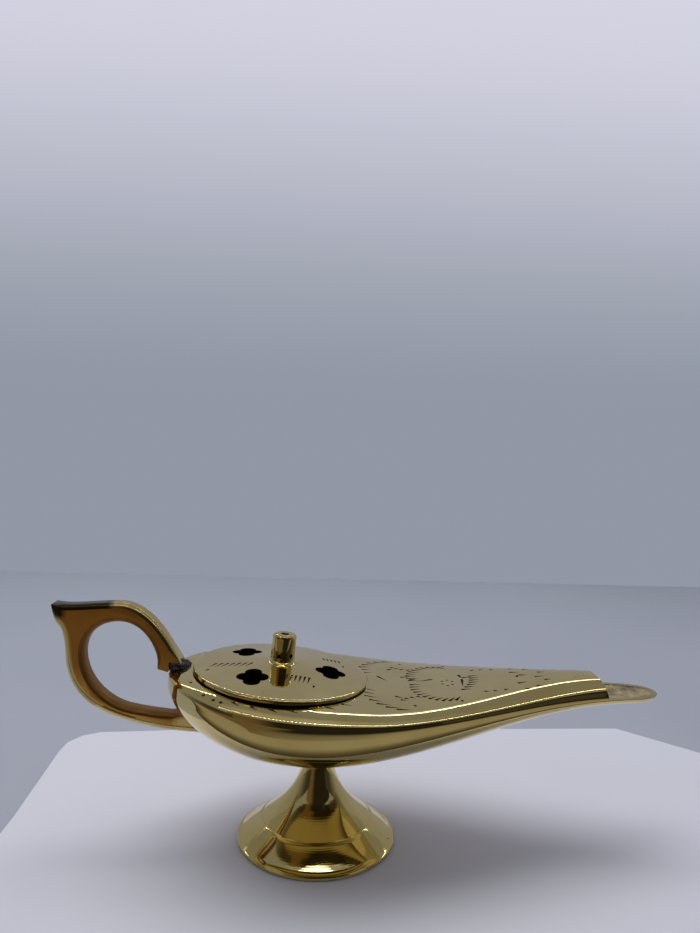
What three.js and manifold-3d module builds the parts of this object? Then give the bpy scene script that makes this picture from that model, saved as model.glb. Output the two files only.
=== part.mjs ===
// Brass incense burner in the form of a genie lamp: a hollow body brazed from two castings stands
// on a turned foot, with a loop handle behind, an open spout in front and a pierced lid on top.
// Millimetres, +Z up, +X towards the spout, the foot rim resting on Z = 0.
import * as THREE from 'three';
import { mergeVertices } from 'three/addons/utils/BufferGeometryUtils.js';
import Module from 'manifold-3d';

const wasm = await Module();
wasm.setup();

// Foot: a turned bell with a slim neck and a hollow underside
const footRimRadius = 23.2;
const footRimHeight = 1.0;
const footRimStep = 0.6;
const footRimWidth = 2.6;
const footHeight = 25.75;
const footNeckRadius = 5.0;
const footFlareOut = 9.5;
const footFlareUp = 6.8;
const footNeckBend = 11.8;
const footNeckLength = 3.8;
const footCeilingHeight = 13.2;

// Fastening of foot and bowl: one screw, with its washer and nut in the hollow of the foot
const screwRadius = 2.0;
const screwClearance = 0.3;
const screwHeadRadius = 3.6;
const screwHeadHeight = 2.4;
const screwStickOut = 1.2;
const washerRadius = 3.9;
const washerThickness = 0.8;
const nutCornerRadius = 4.0;
const nutHeight = 3.2;
const nutRoom = 0.8;
const footSeatDepth = 0.35;
const headSeatDepth = 0.2;

// Body: places along X from the foot axis, heights above the foot, widths from the middle plane
const bodyWall = 1.5;
const lidSetback = 11.8;
const backShoulder = 7.0;
const sideShoulder = 5.9;
const widestSetback = 4.5;
const bowlDepth = 15.85;
const deckRise = 6.5;
const deckTilt = THREE.MathUtils.degToRad(4.36);
const backSeamRise = 4.9;
const spoutReach = 84.0;
const spoutHalfWidth = 8.1;
const spoutSeamRise = 2.7;
const spoutRoofRise = 4.95;
const spoutKeelDepth = 3.25;
const spoutCutLean = 1.5;
const troughLength = 17.5;
const troughTipLength = 11.5;
const seamFilm = 0.2;

// How square the body is across and along: 2 is an ellipse, more is flatter with a tighter shoulder
const deckSquareness = 5.0;
const spoutSquareness = 2.6;
const bellySquareness = 2.0;
const backPlanSquareness = 2.0;
const backKeelSquareness = 1.75;
const tipSquareness = 2.4;

// Slopes of the long lines of the body
const spoutTaper = -0.16;
const spoutSeamSlope = 0.03;
const bowlSeamSlope = -0.06;
const backSeamSlope = -0.1;
const spoutRoofSlope = 0.0;
const spoutKeelSlope = 0.04;

// Lid: a shallow cone that rests on a faced land round the opening of the deck
const lidRadius = 25.4;
const lidEdge = 1.2;
const lidOverlap = 3.6;
const landMargin = 0.6;
const landDepth = 0.35;
const lidRestGap = 0.3;
const lidShoulderRise = 2.0;
const lidShoulderRadius = 8.0;
const lidRise = 4.0;
const lidThickness = 1.2;
const collarClearance = 0.6;
const collarWall = 1.2;
const collarHeight = 4.0;

// Vents: each is drilled as a middle hole and four overlapping lobes
const ventAngles = [139, 239, 350];
const ventCircleRadius = 14.6;
const ventLobeRadius = 2.4;
const ventLobeAcross = 2.1;
const ventLobeAlong = 2.9;

// Knob: a plain cylinder with a stick hole above and a threaded tail below
const knobRadius = 3.5;
const knobHeight = 6.3;
const knobEdge = 0.5;
const stickHoleRadius = 1.25;
const stickHoleDepth = 5.0;
const tailRadius = 1.5;
const tailClearance = 0.3;
const tailStickOut = 0.6;
const knobNutRadius = 3.2;
const knobNutHeight = 2.4;

// Handle: a flat bar with rounded edges, bent to a loop
const handleReach = 31.7;
const handleRise = 20.3;
const handleThickness = 6.0;
const handleRounding = 1.6;
const brazeThickness = 1.2;
const brazeLap = 0.9;

// Gap that stands for a film of braze or a seat between two pieces
const joinGap = 0.3;

// Facets
const roundSteps = 40;
const smallSteps = 16;
const bodyRingSteps = 28;

// Derived places of the body
const lidX = -lidSetback;
const widestX = -widestSetback;
const backX = lidX - lidRadius - backShoulder;
const tipX = spoutReach + troughLength;
const keelZ = footHeight - footSeatDepth;
const headSeatZ = keelZ + bodyWall - headSeatDepth;
const bowlSeamZ = footHeight + bowlDepth;
const backSeamZ = bowlSeamZ + backSeamRise;
const spoutSeamZ = bowlSeamZ + spoutSeamRise;
const deckZ = bowlSeamZ + deckRise;
const deckSlope = -Math.tan(deckTilt);
const lidFrontX = lidX + lidRadius;
const bowlHalfWidth = lidRadius + sideShoulder;
const openingRadius = lidRadius - lidOverlap;

// Closed solid from a three.js geometry, and back again
function solidOf(geometry) {
  const bare = geometry.clone();
  bare.deleteAttribute('normal');
  bare.deleteAttribute('uv');
  const merged = mergeVertices(bare, 1e-4);
  const mesh = new wasm.Mesh({
    numProp: 3,
    vertProperties: new Float32Array(merged.attributes.position.array),
    triVerts: new Uint32Array(merged.index.array),
  });
  return new wasm.Manifold(mesh);
}

function geometryOf(solid) {
  const mesh = solid.getMesh();
  const geometry = new THREE.BufferGeometry();
  geometry.setAttribute('position', new THREE.BufferAttribute(mesh.vertProperties, 3));
  geometry.setIndex(new THREE.BufferAttribute(mesh.triVerts, 1));
  geometry.computeVertexNormals();
  return geometry;
}

// Solid of revolution about Z from (radius, height) points
function turned(profile, steps = roundSteps) {
  const points = profile.map(([radius, height]) => new THREE.Vector2(radius, height));
  return new THREE.LatheGeometry(points, steps).rotateX(Math.PI / 2);
}

// Upright cylinder from one height to another
function drum(radius, bottom, top, steps = roundSteps) {
  const geometry = new THREE.CylinderGeometry(radius, radius, top - bottom, steps);
  return geometry.rotateX(Math.PI / 2).translate(0, 0, (bottom + top) / 2);
}

// Plate with an outline drawn in the XZ plane, centred on the middle plane
function plate(shape, thickness, options = {}) {
  const depth = thickness - 2 * (options.bevelThickness ?? 0);
  const geometry = new THREE.ExtrudeGeometry(shape, { depth, bevelEnabled: false, ...options });
  return geometry.translate(0, 0, -depth / 2).rotateX(Math.PI / 2);
}

// Smooth line through knots that each give a place, a value and a slope; straight beyond the ends
function smoothLine(knots) {
  return (x) => {
    const next = knots.findIndex((knot) => x < knot.at);
    const end = next <= 0 ? knots[next === 0 ? 0 : knots.length - 1] : null;
    if (end) {
      return end.value + end.slope * (x - end.at);
    }
    const from = knots[next - 1];
    const to = knots[next];
    const span = to.at - from.at;
    const t = (x - from.at) / span;
    const rise = t * t * (3 - 2 * t);
    const leave = t * (1 - t) * (1 - t) * span * from.slope;
    const arrive = t * t * (t - 1) * span * to.slope;
    return from.value + (to.value - from.value) * rise + leave + arrive;
  };
}

// Share of a full section that is left at x where a form rounds off between two places
function roundOff(x, start, end, squareness) {
  const share = THREE.MathUtils.clamp((x - start) / (end - start), 0, 1);
  return Math.pow(1 - Math.pow(share, squareness), 1 / squareness);
}

const seamLine = smoothLine([
  { at: backX, value: backSeamZ, slope: backSeamSlope },
  { at: lidX, value: bowlSeamZ, slope: bowlSeamSlope },
  { at: spoutReach, value: spoutSeamZ, slope: spoutSeamSlope },
  { at: tipX, value: spoutSeamZ, slope: 0 },
]);
const deckLine = smoothLine([
  { at: lidX, value: deckZ, slope: deckSlope },
  { at: lidFrontX, value: deckZ + deckSlope * lidRadius, slope: deckSlope },
  { at: spoutReach, value: spoutSeamZ + spoutRoofRise, slope: spoutRoofSlope },
]);
const keelLine = smoothLine([
  { at: backX, value: keelZ, slope: 0 },
  { at: 0, value: keelZ, slope: 0 },
  { at: spoutReach, value: spoutSeamZ - spoutKeelDepth, slope: spoutKeelSlope },
]);
const widthLine = smoothLine([
  { at: backX, value: bowlHalfWidth, slope: 0 },
  { at: widestX, value: bowlHalfWidth, slope: 0 },
  { at: spoutReach, value: spoutHalfWidth, slope: spoutTaper },
]);
const squarenessLine = smoothLine([
  { at: lidX, value: deckSquareness, slope: 0 },
  { at: spoutReach, value: spoutSquareness, slope: 0 },
  { at: tipX, value: spoutSquareness, slope: 0 },
]);

// One cross-section of the body, grown outwards by the given amount
function bodySection(x, grow) {
  const back = backX - grow;
  const tip = tipX + grow;
  const tipShare = roundOff(x, tip - troughTipLength, tip, tipSquareness);
  const seam = seamLine(x);
  const planShare = roundOff(x, widestX, back, backPlanSquareness) * tipShare;
  const deckShare = roundOff(x, lidX, back, deckSquareness) * tipShare;
  const keelShare = roundOff(x, 0, back, backKeelSquareness) * tipShare;
  const halfWidth = (widthLine(x) + grow) * planShare;
  const above = (deckLine(x) + grow - seam) * deckShare;
  const below = (seam - keelLine(x) + grow) * keelShare;
  const ring = [];
  for (let step = 0; step < bodyRingSteps; step += 1) {
    const angle = (step / bodyRingSteps) * 2 * Math.PI;
    const up = Math.sin(angle);
    const side = Math.cos(angle);
    const power = up > 0 ? squarenessLine(x) : bellySquareness;
    const spread = Math.pow(Math.pow(Math.abs(side), power) + Math.pow(Math.abs(up), power), -1 / power);
    const height = up > 0 ? above : below;
    ring.push(new THREE.Vector3(x, halfWidth * side * spread, seam + height * up * spread));
  }
  return ring;
}

// Places of the cross-sections: close together where the two ends round off
function bodyStations(grow) {
  const back = backX - grow;
  const tip = tipX + grow;
  const tipStart = tip - troughTipLength;
  const places = [];
  const backSteps = 9;
  for (let step = 1; step <= backSteps; step += 1) {
    places.push(lidX - (lidX - back) * Math.cos((step / backSteps) * (Math.PI / 2)));
  }
  const middleSteps = 13;
  for (let step = 1; step <= middleSteps; step += 1) {
    places.push(lidX + ((tipStart - lidX) * step) / middleSteps);
  }
  const tipSteps = 5;
  for (let step = 1; step < tipSteps; step += 1) {
    places.push(tipStart + troughTipLength * Math.sin((step / tipSteps) * (Math.PI / 2)));
  }
  return places;
}

// Solid skin over the cross-sections, closed by a point at each end
function bodySolid(grow) {
  const rings = bodyStations(grow).map((x) => bodySection(x, grow));
  const backPoint = new THREE.Vector3(backX - grow, 0, seamLine(backX - grow));
  const tipPoint = new THREE.Vector3(tipX + grow, 0, seamLine(tipX + grow));
  const points = [...rings.flat(), backPoint, tipPoint];
  const backIndex = points.length - 2;
  const tipIndex = points.length - 1;
  const triangles = [];
  for (let step = 0; step < bodyRingSteps; step += 1) {
    const beside = (step + 1) % bodyRingSteps;
    for (let ring = 0; ring < rings.length - 1; ring += 1) {
      const here = ring * bodyRingSteps;
      const ahead = here + bodyRingSteps;
      triangles.push(here + step, here + beside, ahead + step);
      triangles.push(here + beside, ahead + beside, ahead + step);
    }
    const last = (rings.length - 1) * bodyRingSteps;
    triangles.push(backIndex, beside, step);
    triangles.push(tipIndex, last + step, last + beside);
  }
  const geometry = new THREE.BufferGeometry().setFromPoints(points);
  geometry.setIndex(triangles);
  return solidOf(geometry);
}

// Block that fills everything below the seam, raised by the given amount
function belowSeam(raise) {
  const margin = 10;
  const steps = 24;
  const from = backX - margin;
  const to = tipX + margin;
  const shape = new THREE.Shape();
  shape.moveTo(to, -margin);
  shape.lineTo(from, -margin);
  for (let step = 0; step <= steps; step += 1) {
    const x = from + ((to - from) * step) / steps;
    shape.lineTo(x, seamLine(x) + raise);
  }
  return solidOf(plate(shape, 2 * (bowlHalfWidth + margin)));
}

// Block ahead of the leaning cut that ends the roof of the spout
function aheadOfSpoutCut() {
  const margin = 20;
  const roofZ = spoutSeamZ + spoutRoofRise;
  const lean = spoutCutLean / spoutRoofRise;
  const shape = new THREE.Shape();
  shape.moveTo(spoutReach + lean * margin, spoutSeamZ - margin);
  shape.lineTo(tipX + margin, spoutSeamZ - margin);
  shape.lineTo(tipX + margin, roofZ + margin);
  shape.lineTo(spoutReach - spoutCutLean - lean * margin, roofZ + margin);
  return solidOf(plate(shape, 2 * (bowlHalfWidth + margin)));
}

// The lid and its seat share one leaning frame whose Z = 0 is the faced land of the deck
const lidFrame = new THREE.Group();
lidFrame.position.set(lidX, 0, deckZ - landDepth);
lidFrame.rotation.y = deckTilt;
lidFrame.updateMatrix();

function inLidFrame(geometry) {
  return solidOf(geometry.clone().applyMatrix4(lidFrame.matrix));
}

// Body castings
const skin = bodySolid(0);
const hollow = bodySolid(-bodyWall);
const shell = skin.subtract(hollow);
const cutHeight = 30;
const screwHoleRadius = screwRadius + screwClearance;

function bowlShell() {
  const footSeat = solidOf(drum(footNeckRadius + joinGap, 0, footHeight));
  const headSeat = solidOf(drum(screwHeadRadius + joinGap, headSeatZ, headSeatZ + screwHeadHeight));
  const screwHole = solidOf(drum(screwHoleRadius, 0, headSeatZ + screwHeadHeight, smallSteps));
  const lowerHalf = shell.intersect(belowSeam(-seamFilm / 2));
  return lowerHalf.subtract(footSeat).subtract(headSeat).subtract(screwHole);
}

function deckShell() {
  const opening = inLidFrame(drum(openingRadius, -collarHeight - bodyWall, cutHeight));
  const land = inLidFrame(drum(lidRadius + landMargin, 0, cutHeight));
  const upperHalf = shell.subtract(belowSeam(seamFilm / 2));
  return upperHalf.subtract(opening).subtract(land).subtract(aheadOfSpoutCut());
}

// Outline of the handle's flat face: shares of its reach behind the body and of its rise above the seam
function handleFace() {
  const at = (behind, up) => [backX - behind * handleReach, backSeamZ + up * handleRise];
  const shape = new THREE.Shape();
  shape.moveTo(...at(-0.139, 0.084));
  shape.lineTo(...at(0.047, 0.202));
  shape.bezierCurveTo(...at(0.057, 0.478), ...at(0.208, 0.882), ...at(0.451, 0.882));
  shape.bezierCurveTo(...at(0.659, 0.882), ...at(0.808, 0.665), ...at(0.808, 0.355));
  shape.bezierCurveTo(...at(0.808, -0.015), ...at(0.625, -0.369), ...at(0.375, -0.478));
  shape.bezierCurveTo(...at(0.205, -0.537), ...at(0.032, -0.567), ...at(-0.132, -0.586));
  shape.lineTo(...at(-0.511, -0.596));
  shape.lineTo(...at(-0.543, -0.724));
  shape.bezierCurveTo(...at(-0.259, -0.714), ...at(0.013, -0.69), ...at(0.281, -0.581));
  shape.bezierCurveTo(...at(0.656, -0.433), ...at(0.858, -0.187), ...at(0.883, 0.296));
  shape.bezierCurveTo(...at(0.896, 0.557), ...at(0.921, 0.813), ...at(1, 0.946));
  shape.bezierCurveTo(...at(0.839, 0.916), ...at(0.64, 1), ...at(0.457, 1));
  shape.bezierCurveTo(...at(0.24, 1), ...at(0.054, 0.591), ...at(-0.057, 0.246));
  shape.closePath();
  return shape;
}

// Handle bar before its ends are fitted to the body, grown outwards by the given amount
function handleBar(grow) {
  return solidOf(plate(handleFace(), handleThickness + 2 * grow, {
    bevelEnabled: true,
    bevelThickness: handleRounding,
    bevelSize: handleRounding,
    bevelOffset: grow,
    bevelSegments: 2,
    curveSegments: 7,
  }));
}

const brazeOuter = bodySolid(joinGap + brazeThickness);
const brazeInner = bodySolid(joinGap);
const braze = handleBar(brazeLap).intersect(brazeOuter).subtract(brazeInner);

function handle() {
  return handleBar(0).subtract(bodySolid(joinGap + brazeThickness + joinGap));
}

function handleBrazeTop() {
  return braze.subtract(belowSeam(0));
}

function handleBrazeBottom() {
  return braze.intersect(belowSeam(0));
}

// Foot: outer flare up to the neck, screw bore, ceiling for the nut, and the hollow below
function foot() {
  const ceilingRadius = Math.max(washerRadius, nutCornerRadius) + nutRoom;
  const flare = new THREE.CubicBezierCurve(
    new THREE.Vector2(footRimRadius - footRimStep, footRimHeight),
    new THREE.Vector2(footNeckRadius + footFlareOut, footFlareUp),
    new THREE.Vector2(footNeckRadius, footNeckBend),
    new THREE.Vector2(footNeckRadius, footHeight - footNeckLength),
  );
  const hollowRadius = footRimRadius - footRimWidth;
  const cove = new THREE.CubicBezierCurve(
    new THREE.Vector2(ceilingRadius, footCeilingHeight),
    new THREE.Vector2(ceilingRadius, footCeilingHeight - nutHeight),
    new THREE.Vector2(footNeckRadius + footFlareOut - footRimWidth, footFlareUp - footRimWidth),
    new THREE.Vector2(hollowRadius, 0),
  );
  const profile = [
    [footRimRadius, 0],
    [footRimRadius, footRimHeight],
    ...flare.getPoints(9).map((point) => [point.x, point.y]),
    [footNeckRadius, footHeight],
    [screwHoleRadius, footHeight],
    [screwHoleRadius, footCeilingHeight],
    ...cove.getPoints(5).map((point) => [point.x, point.y]),
    [footRimRadius, 0],
  ];
  return turned(profile);
}

// Ring with a square section, used for the washer and the collar of the lid
function ring(innerRadius, outerRadius, bottom, top, steps = roundSteps) {
  return turned([
    [innerRadius, bottom],
    [outerRadius, bottom],
    [outerRadius, top],
    [innerRadius, top],
    [innerRadius, bottom],
  ], steps);
}

// Six-sided nut with a round bore
function hexNut(cornerRadius, boreRadius, bottom, top) {
  const body = solidOf(drum(cornerRadius, bottom, top, 6));
  const bore = solidOf(drum(boreRadius, bottom - 1, top + 1, smallSteps));
  return geometryOf(body.subtract(bore));
}

const washerTop = footCeilingHeight;
const washerBottom = washerTop - washerThickness;
const footNutBottom = washerBottom - nutHeight;

function footBolt() {
  const headTop = headSeatZ + screwHeadHeight;
  const crown = screwHeadHeight / 2;
  return turned([
    [0, footNutBottom - screwStickOut],
    [screwRadius, footNutBottom - screwStickOut],
    [screwRadius, headSeatZ],
    [screwHeadRadius, headSeatZ],
    [screwHeadRadius, headTop - crown],
    [screwHeadRadius - crown / 2, headTop],
    [0, headTop],
  ], smallSteps);
}

// Lid: rim, cone and flare up to the flat that carries the knob, hollow underneath
const lidBottom = lidRestGap;
const lidRimTop = lidBottom + lidEdge;
const lidTop = lidRimTop + lidRise;
const knobSeatRadius = knobRadius + joinGap;
const tailHoleRadius = tailRadius + tailClearance;
const collarOuterRadius = openingRadius - collarClearance;
const collarInnerRadius = collarOuterRadius - collarWall;

function lidBlank() {
  const shoulder = [lidShoulderRadius, lidRimTop + lidShoulderRise];
  const seat = [knobSeatRadius, lidTop];
  const flare = new THREE.QuadraticBezierCurve(
    new THREE.Vector2(...shoulder),
    new THREE.Vector2(knobSeatRadius + joinGap, shoulder[1] + joinGap),
    new THREE.Vector2(...seat),
  );
  const flarePoints = flare.getPoints(4).map((point) => [point.x, point.y]);
  const underFlare = flarePoints.map(([radius, height]) => [radius + joinGap, height - lidThickness]);
  return turned([
    [collarInnerRadius - collarWall, lidBottom],
    [lidRadius, lidBottom],
    [lidRadius, lidRimTop],
    ...flarePoints,
    [tailHoleRadius, lidTop],
    [tailHoleRadius, lidTop - lidThickness],
    ...underFlare.reverse(),
    [collarInnerRadius - collarWall, lidBottom],
  ]);
}

function lid() {
  const lobes = [[0, 0], [1, 0], [-1, 0], [0, 1], [0, -1]];
  let pierced = solidOf(lidBlank());
  for (const degrees of ventAngles) {
    const angle = THREE.MathUtils.degToRad(degrees);
    const ventX = ventCircleRadius * Math.cos(angle);
    const ventY = ventCircleRadius * Math.sin(angle);
    for (const [across, along] of lobes) {
      const drill = drum(ventLobeRadius, -cutHeight, cutHeight, smallSteps);
      drill.translate(ventX + across * ventLobeAcross, ventY + along * ventLobeAlong, 0);
      pierced = pierced.subtract(solidOf(drill));
    }
  }
  return geometryOf(pierced);
}

function lidCollar() {
  const top = lidBottom - joinGap;
  return ring(collarInnerRadius, collarOuterRadius, top - collarHeight, top);
}

const knobBottom = lidTop + joinGap;
const knobNutTop = lidTop - lidThickness - joinGap;
const knobNutBottom = knobNutTop - knobNutHeight;

function knob() {
  const knobTop = knobBottom + knobHeight;
  return turned([
    [0, knobNutBottom - tailStickOut],
    [tailRadius, knobNutBottom - tailStickOut],
    [tailRadius, knobBottom],
    [knobRadius, knobBottom],
    [knobRadius, knobTop - knobEdge],
    [knobRadius - knobEdge, knobTop],
    [stickHoleRadius, knobTop],
    [stickHoleRadius, knobTop - stickHoleDepth],
    [0, knobTop - stickHoleDepth],
  ], smallSteps);
}

// Finishes
const polishedBrass = { color: 0xb09a58, metalness: 1.0, roughness: 0.12 };
const brownedBrass = { color: 0x9a6f33, metalness: 1.0, roughness: 0.16 };
const burntBraze = { color: 0x3a3340, metalness: 0.6, roughness: 0.55 };
const plainSteel = { color: 0x8d8a80, metalness: 1.0, roughness: 0.4 };

function piece(name, geometry, finish) {
  const mesh = new THREE.Mesh(geometry, new THREE.MeshStandardMaterial(finish));
  mesh.name = name;
  return mesh;
}

const lamp = new THREE.Group();
lamp.add(
  piece('foot', foot(), polishedBrass),
  piece('foot_bolt', footBolt(), plainSteel),
  piece('foot_washer', ring(screwHoleRadius, washerRadius, washerBottom, washerTop, smallSteps), plainSteel),
  piece('foot_nut', hexNut(nutCornerRadius, screwHoleRadius, footNutBottom, washerBottom), plainSteel),
  piece('bowl_shell', geometryOf(bowlShell()), polishedBrass),
  piece('deck_shell', geometryOf(deckShell()), polishedBrass),
  piece('handle', geometryOf(handle()), brownedBrass),
  piece('handle_braze_top', geometryOf(handleBrazeTop()), burntBraze),
  piece('handle_braze_bottom', geometryOf(handleBrazeBottom()), burntBraze),
  lidFrame,
);
lidFrame.add(
  piece('lid', lid(), polishedBrass),
  piece('lid_collar', lidCollar(), polishedBrass),
  piece('knob', knob(), polishedBrass),
  piece('knob_nut', hexNut(knobNutRadius, tailHoleRadius, knobNutBottom, knobNutTop), plainSteel),
);

// Stand the burner with the middle of its length over the origin
const burner = new THREE.Group();
burner.add(lamp);
burner.updateMatrixWorld(true);
const reach = new THREE.Box3().setFromObject(lamp);
lamp.position.x = -(reach.min.x + reach.max.x) / 2;

export default burner;
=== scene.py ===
# A polished brass incense burner in the form of a genie lamp: metres, +Z up, +X towards the spout.
import math

import bmesh
import bpy
from mathutils import Matrix, Vector, geometry, noise


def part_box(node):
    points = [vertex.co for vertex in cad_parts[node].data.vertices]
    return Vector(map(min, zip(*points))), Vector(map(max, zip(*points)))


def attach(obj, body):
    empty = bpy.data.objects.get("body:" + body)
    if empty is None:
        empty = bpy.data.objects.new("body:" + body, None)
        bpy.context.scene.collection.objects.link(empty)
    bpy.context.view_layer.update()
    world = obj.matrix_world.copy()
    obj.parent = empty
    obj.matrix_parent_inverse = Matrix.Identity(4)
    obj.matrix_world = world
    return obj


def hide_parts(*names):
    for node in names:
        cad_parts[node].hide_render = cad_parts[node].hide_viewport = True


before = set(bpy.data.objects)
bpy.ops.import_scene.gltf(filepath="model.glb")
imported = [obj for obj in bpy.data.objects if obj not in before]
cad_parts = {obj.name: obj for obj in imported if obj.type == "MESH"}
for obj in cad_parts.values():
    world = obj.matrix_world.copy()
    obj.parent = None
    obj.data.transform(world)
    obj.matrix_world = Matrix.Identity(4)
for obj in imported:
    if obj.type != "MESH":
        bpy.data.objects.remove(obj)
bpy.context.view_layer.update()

# Foot: a bell turned from solid brass, hollow below, with a slim neck and a thin band at the rim.
# The lathe has left fine rings on it and one deeper scribed ring, and a screw pulls it to the bowl.
MM = 0.001
foot_low, foot_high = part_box("foot")
foot_axis = Vector(((foot_low.x + foot_high.x) / 2, 0, 0))


def bow(start, pull_start, pull_end, end, points):
    """Points along a curve that leaves start and reaches end in the directions of its two pulls."""
    ends = [Vector(point) for point in (start, pull_start, pull_end, end)]
    return [tuple(point) for point in geometry.interpolate_bezier(*ends, points)]


def turn(profile, steps, ring=True):
    """Spins a line of (radius, height) points in millimetres about the upright axis at the origin."""
    bm = bmesh.new()
    line = [bm.verts.new((radius * MM, 0, height * MM)) for radius, height in profile]
    edges = [bm.edges.new(pair) for pair in zip(line, line[1:])]
    if ring:
        edges.append(bm.edges.new((line[-1], line[0])))
    bmesh.ops.spin(bm, geom=line + edges, cent=(0, 0, 0), axis=(0, 0, 1),
                   angle=2 * math.pi, steps=steps, use_merge=True)
    bmesh.ops.remove_doubles(bm, verts=bm.verts, dist=1e-7)
    bmesh.ops.recalc_face_normals(bm, faces=bm.faces)
    return bm


def make_piece(bm, name, *finishes, place=Matrix(), crease=32):
    """Puts a shaped mesh in its place as an object with smooth faces and crisp edges."""
    bm.transform(place)
    mesh = bpy.data.meshes.new(name)
    bm.to_mesh(mesh)
    bm.free()
    for finish in finishes:
        mesh.materials.append(finish)
    mesh.shade_smooth()
    mesh.set_sharp_from_angle(angle=math.radians(crease))
    piece = bpy.data.objects.new(name, mesh)
    bpy.context.scene.collection.objects.link(piece)
    return piece


def plug(tree, node, inputs):
    """Sets a shader node's inputs; each is a number, a colour or another node's socket."""
    for key, value in inputs.items():
        if isinstance(value, bpy.types.NodeSocket):
            tree.links.new(value, node.inputs[key])
        else:
            node.inputs[key].default_value = value


def add_node(tree, kind, inputs=(), **settings):
    """A shader node with its settings and its inputs."""
    node = tree.nodes.new(kind)
    for key, value in settings.items():
        setattr(node, key, value)
    plug(tree, node, dict(inputs))
    return node


def start_finish(name):
    """A new material, its nodes, its surface shader and the place on the piece that it colours."""
    finish = bpy.data.materials.new(name)
    finish.use_nodes = True
    tree = finish.node_tree
    spot = add_node(tree, "ShaderNodeTexCoord").outputs["Object"]
    return finish, tree, tree.nodes["Principled BSDF"], spot


def ramp(tree, value, low, high, at_low=0.0, at_high=1.0):
    """A level that goes from at_low to at_high while the value goes from low to high."""
    return add_node(tree, "ShaderNodeMapRange", {
        "Value": value, "From Min": low, "From Max": high, "To Min": at_low, "To Max": at_high,
    }).outputs["Result"]


CLOUD_LOW, CLOUD_HIGH = 0.32, 0.68


def mottle(tree, spot, scale, low, high, detail=4.0):
    """Cloudy values from low to high, in patches of the given scale."""
    cloud = add_node(tree, "ShaderNodeTexNoise", {"Vector": spot, "Scale": scale, "Detail": detail})
    return ramp(tree, cloud.outputs["Fac"], CLOUD_LOW, CLOUD_HIGH, low, high)


COLOUR_FROM, COLOUR_TO, COLOUR_OUT = 6, 7, 2


def shade_between(tree, share, first, second):
    """A colour that goes from the first to the second with share; each is a tone or a node's socket."""
    tones = [tone if isinstance(tone, bpy.types.NodeSocket) else (*tone, 1) for tone in (first, second)]
    sockets = {"Factor": share, COLOUR_FROM: tones[0], COLOUR_TO: tones[1]}
    return add_node(tree, "ShaderNodeMix", sockets, data_type="RGBA").outputs[COLOUR_OUT]


def reckon(tree, operation, *values):
    """The result of one sum on numbers or sockets."""
    return add_node(tree, "ShaderNodeMath", enumerate(values), operation=operation).outputs[0]


def emboss(tree, height, depth, under=None):
    """Normals of a skin that rises and falls by the depth in metres, over the normals under it."""
    sockets = {"Height": height, "Strength": 1.0, "Distance": depth}
    if under is not None:
        sockets["Normal"] = under
    return add_node(tree, "ShaderNodeBump", sockets).outputs["Normal"]


BUFFED_DEPTH, GRAIN_DEPTH = 0.000025, 0.0000013
PIT_SCALE, PIT_SIZE = 330.0, 0.075
PIT_TONE = (0.035, 0.025, 0.012)


def brass_finish(name, bright, dull, smooth, rough, grain=None, pits=0.0, patches=()):
    """Polished brass: two tones, a buffed unevenness, fine grain, a few pits and patches of other tones."""
    finish, tree, shader, spot = start_finish(name)
    colour = shade_between(tree, mottle(tree, spot, 70, 0.0, 1.0, 6.0), bright, dull)
    for share, tone in patches:
        colour = shade_between(tree, share(tree, spot), colour, tone)
    gloss = mottle(tree, spot, 260, smooth, rough, 8.0)
    skin = emboss(tree, mottle(tree, spot, 55, 0.0, 1.0, 2.0), BUFFED_DEPTH)
    if grain is not None:
        skin = emboss(tree, grain(tree, spot), GRAIN_DEPTH, skin)
    if pits:
        cells = add_node(tree, "ShaderNodeTexVoronoi", {"Vector": spot, "Scale": PIT_SCALE})
        near = reckon(tree, "LESS_THAN", cells.outputs["Distance"], PIT_SIZE)
        pick = add_node(tree, "ShaderNodeSeparateColor", {"Color": cells.outputs["Color"]}).outputs["Red"]
        pit = reckon(tree, "MULTIPLY", near, reckon(tree, "LESS_THAN", pick, pits))
        colour = shade_between(tree, pit, colour, PIT_TONE)
        gloss = reckon(tree, "MAXIMUM", gloss, pit)
    plug(tree, shader, {"Metallic": 1.0, "Base Color": colour, "Roughness": gloss, "Normal": skin})
    return finish


def lathe_rings(tree, spot):
    """Fine tool rings about the foot's axis."""
    centred = add_node(tree, "ShaderNodeMapping", {"Vector": spot, "Location": -foot_axis})
    return add_node(tree, "ShaderNodeTexWave", {
        "Vector": centred.outputs["Vector"], "Scale": 620.0, "Distortion": 0.6, "Detail": 2.0,
        "Detail Scale": 0.4,
    }, wave_type="RINGS", rings_direction="Z", wave_profile="SIN").outputs["Fac"]


turned_brass = brass_finish(
    "turned_brass", (0.73, 0.59, 0.25), (0.63, 0.50, 0.19), 0.03, 0.08, lathe_rings, 0.05,
)
SCRIBE_RADIUS = 16.2
flare = bow((22.6, 1.1), (14.9, 7.2), (5.7, 11.8), (4.3, 23.4), 26)
scribe = next(i for i, point in enumerate(flare) if point[0] < SCRIBE_RADIUS)
groove = flare[scribe]
flare[scribe:scribe + 1] = [
    (groove[0] + 0.16, groove[1] - 0.13), (groove[0] - 0.1, groove[1] - 0.1),
    (groove[0] - 0.16, groove[1] + 0.13),
]
foot_line = [
    (20.6, 0.0), (22.95, 0.0), (23.2, 0.25), (23.2, 0.75), (23.0, 1.0), *flare, (4.2, 25.6),
    (2.3, 25.6), (2.3, 13.2), *bow((4.8, 13.2), (4.8, 10.0), (11.9, 4.2), (20.6, 0.0), 14)[:-1],
]
at_foot = Matrix.Translation(foot_axis)
foot = make_piece(turn(foot_line, 160), "foot_bell", turned_brass, place=at_foot)
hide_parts("foot")
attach(foot, "lamp")

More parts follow.
